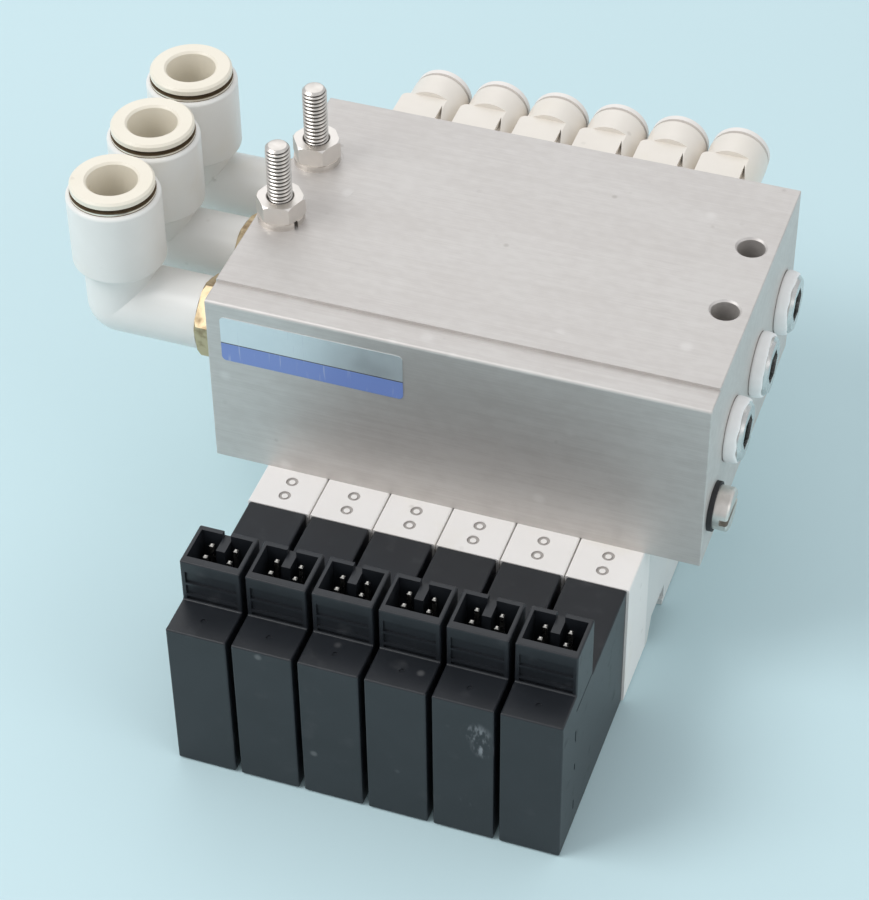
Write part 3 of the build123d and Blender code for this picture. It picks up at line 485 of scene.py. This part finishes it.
def tape_rings(y, seed):
    """Tape bead: its section is a flattened arch, and its radius and length ripple round it."""
    turn = full_turn(points=96)
    draw = np.random.default_rng(seed)
    ripple = sum(
        draw.uniform(0.3, 1.0) * np.sin(count * turn + draw.uniform(0, 6.3)) / count ** 0.6
        for count in (2, 3, 5, 8, 11)
    )
    ripple = ripple / np.abs(ripple).max()
    length = tape_length * (0.90 + 0.10 * ripple)
    bulge = tape_rise * (0.84 + 0.16 * np.roll(ripple, 17))
    phase = np.linspace(0, np.pi, 15)[:, None]
    share = (1 - np.cos(phase)) / 2
    radius = plug_radius - 0.00005 + bulge * np.sin(phase) ** 0.45 * (1 - 0.3 * share)
    root = (tape_low[0], tape_root)
    profile = [root, *zip(tape_low[0] + length * share, radius), root]
    return turned(profile, turn, (y, gallery_z), 0)


tape_finish = tape_white()
for number, y in enumerate(gallery_ys, 1):
    tape = skin(f"tape_bead_{number}", tape_rings(y, number), tape_finish, "island")
    crisp(tape, 70)
    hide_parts("sealing_tape")


# Pilot plug: slotted zinc-plated screw with a black rubber gasket.
def black_rubber():
    """Matte rubber, slightly greyed."""
    finish = Finish("black_rubber")
    clouds = finish.noise(0.001, (1, 1, 1), 3.0)
    colour = finish.blend(clouds, rgb(0.012, 0.012, 0.013), rgb(0.03, 0.03, 0.032))
    return finish.use(Base_Color=colour, Roughness=0.6 + 0.15 * clouds)


rubber = black_rubber()
dress(zinc, "pilot_plug")
dress(rubber, "pilot_plug_gasket", "elbow_stem_seals", "outlet_seals", "valve_gaskets")


# Elbow stems: turned brass with a hexagon; the thread shows between hexagon and block.
def turned_brass():
    """Warm brass with fine turning marks round X and a dull stain in places."""
    finish = Finish("turned_brass", Metallic=1.0)
    marks = finish.noise(0.0001, (1, 0.05, 0.05), 2.0)
    stain = finish.ramp(finish.noise(0.0022, (1, 1, 1), 4.0), 0.45, 0.75)
    colour = finish.blend(stain, rgb(0.62, 0.50, 0.32), rgb(0.34, 0.24, 0.14))
    relief = finish.relief(marks, 0.00001)
    return finish.use(Base_Color=colour, Roughness=0.44 + 0.15 * stain, Normal=relief)


brass = turned_brass()
dress(brass, "elbow_stems")
stem_crest, stem_root, stem_pitch, stem_depth = 0.0051, 0.0042, 0.000907, 0.0005
stem_gap, stem_sunk = 0.0012, 0.0004      # how far the thread reaches out of and into the block


def stem_thread_rings(y):
    """Thread on the length of stem that shows; it ends inside the block's chamfer."""
    turn = full_turn(points=72)
    along = np.arange(-stem_gap, stem_sunk, stem_pitch / 12)[:, None]
    radius = thread(turn, along, stem_crest, stem_depth, stem_pitch)
    first, last = (block_low[0] - stem_gap, stem_root), (block_low[0] + along[-1], stem_root)
    profile = [first, *zip(block_low[0] + along, radius), last, first]
    return turned(profile, turn, (y, gallery_z), 0)


for number, y in enumerate(gallery_ys, 1):
    worm = skin(f"stem_thread_{number}", stem_thread_rings(y), brass, "island")
    crisp(worm, 60)


# Elbow bodies: moulded white plastic that has yellowed a little, with a satin skin.
def moulded(name, deep, pale, roughness, sunk=None):
    """Moulded plastic: soft clouds between two tones, a fine skin and a trace of handling.

    Where a piece has sunk marks, sunk is the function that works out the share of painted shade
    in them.
    """
    finish = Finish(name)
    yellowed, speck, recess_shade = rgb(0.78, 0.72, 0.58), rgb(0.35, 0.32, 0.27), rgb(0.24, 0.21, 0.19)
    clouds = finish.noise(0.006, (1, 1, 1), 3.0)
    skin_grain = finish.noise(0.00018, (1, 1, 1), 2.0)
    handled = finish.ramp(finish.noise(0.011, (1, 1, 1), 5.0, (2.0, 5.0, 1.0)), 0.52, 0.75)
    specks = finish.specks(0.0021, 0.05)
    colour = finish.blend(clouds, deep, pale)
    colour = finish.blend(handled * 0.25, colour, yellowed)
    colour = finish.blend(specks * 0.25, colour, speck)
    # Painted shade in a piece's sunk marks.
    if sunk is not None:
        colour = finish.blend(sunk(finish), colour, recess_shade)
    relief = finish.relief(skin_grain, 0.000006)
    gloss = roughness + 0.1 * handled + 0.06 * skin_grain
    return finish.use(Base_Color=colour, Roughness=gloss, Normal=relief)


elbow_white = moulded("elbow_white", rgb(0.81, 0.80, 0.765), rgb(0.87, 0.86, 0.83), 0.32)
dress(elbow_white, "elbow_body_1", "elbow_body_2", "elbow_body_3")


# Elbow collars and release rings: a pressed collar under a cream ring, painted dark as the shade
# of the gap under the ring, with a painted highlight line.
collar_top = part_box("elbow_collar_1")[1][2]
collar_highlight_heights = (collar_top - 0.00032, collar_top - 0.00006)     # heights of the painted highlight on the collar


def bright_collar():
    """Pressed metal, painted dark brown as the shade of the gap under the ring, with one painted
    highlight line round it.
    """
    finish = Finish("bright_collar")
    height = finish.axes()[2]
    low, high, fade = *collar_highlight_heights, 0.00003
    line = finish.ramp(height, low - fade, low, False)
    line = line * (1 - finish.ramp(height, high, high + fade, False))
    clouds = finish.noise(0.0008, (1, 1, 1), 2.0)
    # Painted shade: these dark tones stand for the gap under the ring.
    shade_tone = finish.blend(clouds, rgb(0.09, 0.06, 0.035), rgb(0.24, 0.17, 0.10))
    # Painted highlight: the bright line round the collar.
    colour = finish.blend(line, shade_tone, rgb(0.90, 0.86, 0.76))
    return finish.use(Base_Color=colour, Metallic=0.4 + 0.6 * line, Roughness=0.25 + 0.1 * clouds)


collar_finish = bright_collar()
ring_cream = moulded("ring_cream", rgb(0.82, 0.76, 0.64), rgb(0.88, 0.83, 0.71), 0.34)
for number in (1, 2, 3):
    dress(collar_finish, f"elbow_collar_{number}")
    dress(ring_cream, f"elbow_ring_{number}")


# Outlets: cream bodies with two spanner flats and whiter release rings.
outlet_cream = moulded("outlet_cream", rgb(0.76, 0.71, 0.64), rgb(0.84, 0.79, 0.72), 0.36)
outlet_white = moulded("outlet_white", rgb(0.80, 0.76, 0.72), rgb(0.87, 0.83, 0.79), 0.34)
dress(outlet_cream, "outlet_fittings")
for number in range(1, 13):
    dress(outlet_white, f"outlet_ring_{number}")


# Valves: greyish white bodies, whiter pilot blocks in front of them.
body_white = moulded("body_white", rgb(0.66, 0.67, 0.66), rgb(0.74, 0.75, 0.73), 0.4)
station_pitch = 0.0105
pilot_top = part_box("pilot_blocks")[1][2]
dimple_radius, dimple_depth = 0.0010, 0.0003
pip_sunk = 0.0001         # the pip in a ring mark stands this far under the face


def dimple_shade(finish):
    """Painted shade in the ring marks, found by depth and by the distance from a station's
    middle.
    """
    x, _, z = finish.axes()
    aside = ((x / station_pitch).past_whole() - 0.5).size() * station_pitch
    pip_top, dimple_floor = pilot_top - pip_sunk, pilot_top - dimple_depth
    under_pip = 1 - finish.ramp(z, pip_top - 0.00008, pip_top - 0.00002)
    over_floor = finish.ramp(z, dimple_floor - 0.0002, dimple_floor - 0.0001)
    near = 1 - finish.ramp(aside, dimple_radius, dimple_radius + 0.0001)
    return under_pip * over_floor * near * 0.65


pilot_white = moulded(
    "pilot_white", rgb(0.87, 0.84, 0.81), rgb(0.92, 0.895, 0.87), 0.36, sunk=dimple_shade
)
dress(body_white, "valve_bodies")
dress(pilot_white, "pilot_blocks")


# Coils: black glass-filled plastic with a satin skin, rubbed and dusty in places.
coil_low, coil_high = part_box("coil_5")
scuff_x = (coil_low[0] + coil_high[0]) / 2
# Each scuff's distance from the front's middle line, its height and its reach.
scuffs = ((0.0022, -0.0345, 0.0028), (0.0032, -0.0375, 0.0024), (0.0008, -0.0500, 0.0014))


def coil_black():
    """Near-black plastic with a fine skin, faint dust, and chalky scuffs on one front."""
    finish = Finish("coil_black")
    clouds = finish.noise(0.007, (1, 1, 1), 4.0)
    grain = finish.noise(0.00016, (1, 1, 1), 2.0)
    dust = finish.ramp(finish.noise(0.0035, (1, 1, 1), 6.0, (1.0, 7.0, 2.0)), 0.58, 0.8)
    specks = finish.specks(0.0027, 0.05)
    chalk = sum(
        finish.spot((scuff_x + aside, coil_low[1], height), reach * 0.2, reach)
        for aside, height, reach in scuffs
    )
    chalk = chalk * finish.ramp(finish.noise(0.0008, (1, 1, 0.4), 5.0), 0.46, 0.66)
    colour = finish.blend(clouds, rgb(0.008, 0.010, 0.013), rgb(0.018, 0.021, 0.026))
    colour = finish.blend(dust * 0.06, colour, rgb(0.30, 0.30, 0.31))
    colour = finish.blend(specks * 0.18, colour, rgb(0.45, 0.45, 0.45))
    colour = finish.blend((chalk * 0.4).or_less(0.6), colour, rgb(0.50, 0.52, 0.55))
    relief = finish.relief(grain, 0.000008)
    roughness = 0.33 + 0.12 * grain + 0.15 * dust + 0.2 * chalk
    return finish.use(Base_Color=colour, Roughness=roughness, Normal=relief)


coil_finish = coil_black()
for number in range(1, 7):
    dress(coil_finish, f"coil_{number}")


# Terminals: tinned square pins.
def tinned():
    """Dull tin."""
    finish = Finish("tinned_pin", Metallic=1.0)
    clouds = finish.noise(0.0006, (1, 1, 1), 2.0)
    colour = finish.blend(clouds, rgb(0.42, 0.41, 0.38), rgb(0.62, 0.60, 0.56))
    return finish.use(Base_Color=colour, Roughness=0.22 + 0.15 * clouds)


dress(tinned(), "connector_pins")


# Inner pieces: copper windings, ground steel cores and plungers, polished spools.
def wound_copper():
    """Enamelled wire: fine turns along Y."""
    finish = Finish("wound_copper", Metallic=0.8)
    turns = finish.noise(0.00012, (0.02, 1, 0.02), 1.0)
    colour = finish.blend(turns, rgb(0.30, 0.09, 0.035), rgb(0.62, 0.25, 0.11))
    relief = finish.relief(turns, 0.00003)
    return finish.use(Base_Color=colour, Roughness=0.3 + 0.1 * turns, Normal=relief)


def ground_steel():
    """Ground steel with fine marks round Y."""
    finish = Finish("ground_steel", Metallic=1.0)
    marks = finish.noise(0.00015, (0.1, 1, 0.1), 2.0)
    colour = finish.blend(marks, rgb(0.48, 0.48, 0.48), rgb(0.66, 0.66, 0.66))
    relief = finish.relief(marks, 0.000008)
    return finish.use(Base_Color=colour, Roughness=0.22 + 0.15 * marks, Normal=relief)


dress(wound_copper(), "windings")
steel = ground_steel()
dress(steel, "cores")
for number in range(1, 7):
    dress(steel, f"plunger_{number}", f"spool_{number}")


# Springs: round steel wire, coiled. A return spring sits behind each spool, and a weaker one
# in front of each plunger; each is drawn at one length and stays so.
def coil_rings(x, z, ends, mean_radius, wire_radius, turns):
    """Wire along a helix round Y: its section, a circle, lies in the plane of axis and radius.

    The last ring at each end is the mean of its neighbour, which closes the wire.
    """
    rings_per_turn = 28
    share = np.linspace(0, 1, int(turns * rings_per_turn))[:, None]
    section = full_turn(points=10)
    turn = 2 * np.pi * turns * share
    radius = mean_radius + wire_radius * np.cos(section)
    travel = ends[1] - ends[0] - 2 * wire_radius
    y = ends[0] + wire_radius + travel * share + wire_radius * np.sin(section)
    wire = np.stack([x + radius * np.cos(turn), y, z + radius * np.sin(turn)], axis=-1)
    first, last = (0 * wire[end] + wire[end].mean(axis=0) for end in (0, -1))
    return [first, *wire, last]


station_xs = station_pitch * (np.arange(6) - 2.5)
# held_end is the end that stays put: 0 in front, 1 behind.
for kind, held_end, joint, stroke, wire_radius, turns in (
    ("return_spring", 1, "spool_slide", 0.0025, 0.0002, 4.5),
    ("plunger_spring", 0, "plunger_slide", 0.0005, 0.00015, 7),
):
    low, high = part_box(kind + "s")
    ends = (low[1], high[1])
    middle_z = (low[2] + high[2]) / 2
    mean_radius = (high[2] - low[2]) / 2 - wire_radius
    for number, x in enumerate(station_xs, 1):
        rings = coil_rings(x, middle_z, ends, mean_radius, wire_radius, turns)
        spring = skin(f"{kind}_{number}", rings, steel, "island")
        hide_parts(kind + "s")
        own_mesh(spring)


# Floor: a plain pale sheet under the valves.
floor_size = 3.0
floor_height = cad_box[0][2] - 0.0002     # just clear of the valves' undersides
floor_finish = Finish("pale_floor", Roughness=0.85)
floor_tone = floor_finish.noise(0.3, (1, 1, 1), 3.0)
floor_colour = floor_finish.blend(floor_tone, rgb(0.56, 0.74, 0.78), rgb(0.60, 0.78, 0.82))
floor_finish.use(Base_Color=floor_colour)
corners = np.array([(-1, -1, 0), (1, -1, 0), (1, 1, 0), (-1, 1, 0)]) * floor_size / 2
floor_mesh = bpy.data.meshes.new("floor")
floor_mesh.from_pydata((corners + [0, 0, floor_height]).tolist(), [], [(0, 1, 2, 3)])
floor_mesh.materials.append(floor_finish.material)
floor = bpy.data.objects.new("floor", floor_mesh)
bpy.context.scene.collection.objects.link(floor)


# Light: a soft lamp at the left, weaker ones behind, which the metal mirrors, and at the
# right, and a pale even surround.
def soft_lamp(name, place, size, power):
    """Square lamp at a place, turned to shine at the origin."""
    light = bpy.data.lights.new(name, "AREA")
    light.shape = "SQUARE"
    light.size = size
    light.energy = power
    lamp = bpy.data.objects.new(name, light)
    lamp.location = place
    lamp.rotation_euler = Vector(place).to_track_quat("Z", "Y").to_euler()
    bpy.context.scene.collection.objects.link(lamp)


soft_lamp("key_lamp", place=(-0.55, -0.35, 0.75), size=0.5, power=4.2)
soft_lamp("back_lamp", place=(-0.30, 0.84, 0.83), size=0.9, power=1.8)
soft_lamp("fill_lamp", place=(0.9, -0.3, 0.4), size=0.6, power=1.5)
world = bpy.data.worlds.new("surround")
world.use_nodes = True
world.node_tree.nodes["Background"].inputs["Color"].default_value = rgb(0.95, 0.97, 1.0)
world.node_tree.nodes["Background"].inputs["Strength"].default_value = 0.68
bpy.context.scene.world = world


# Camera: as the photograph was taken, from the front, the right and above. Its place, directions
# and lens were fitted to corners and holes measured in the photograph.
camera_place = Vector((0.10285, -0.3274, 0.2722))
camera_ahead = Vector((-0.2459, 0.6899, -0.6809)).normalized()
camera_right = Vector((0.9448, 0.3275, -0.0094)).normalized()
camera_up = camera_right.cross(camera_ahead).normalized()
camera_right = camera_ahead.cross(camera_up)
camera_data = bpy.data.cameras.new("camera")
camera_data.sensor_fit = "HORIZONTAL"
camera_data.sensor_width = 36.0
camera_data.lens = 114.96
camera_data.clip_start = 0.01
camera = bpy.data.objects.new("camera", camera_data)
camera_turn = Matrix((camera_right, camera_up, -camera_ahead)).transposed().to_4x4()
camera.matrix_world = Matrix.Translation(camera_place) @ camera_turn
bpy.context.scene.collection.objects.link(camera)
bpy.context.scene.camera = camera
bpy.context.scene.view_settings.view_transform = "Standard"
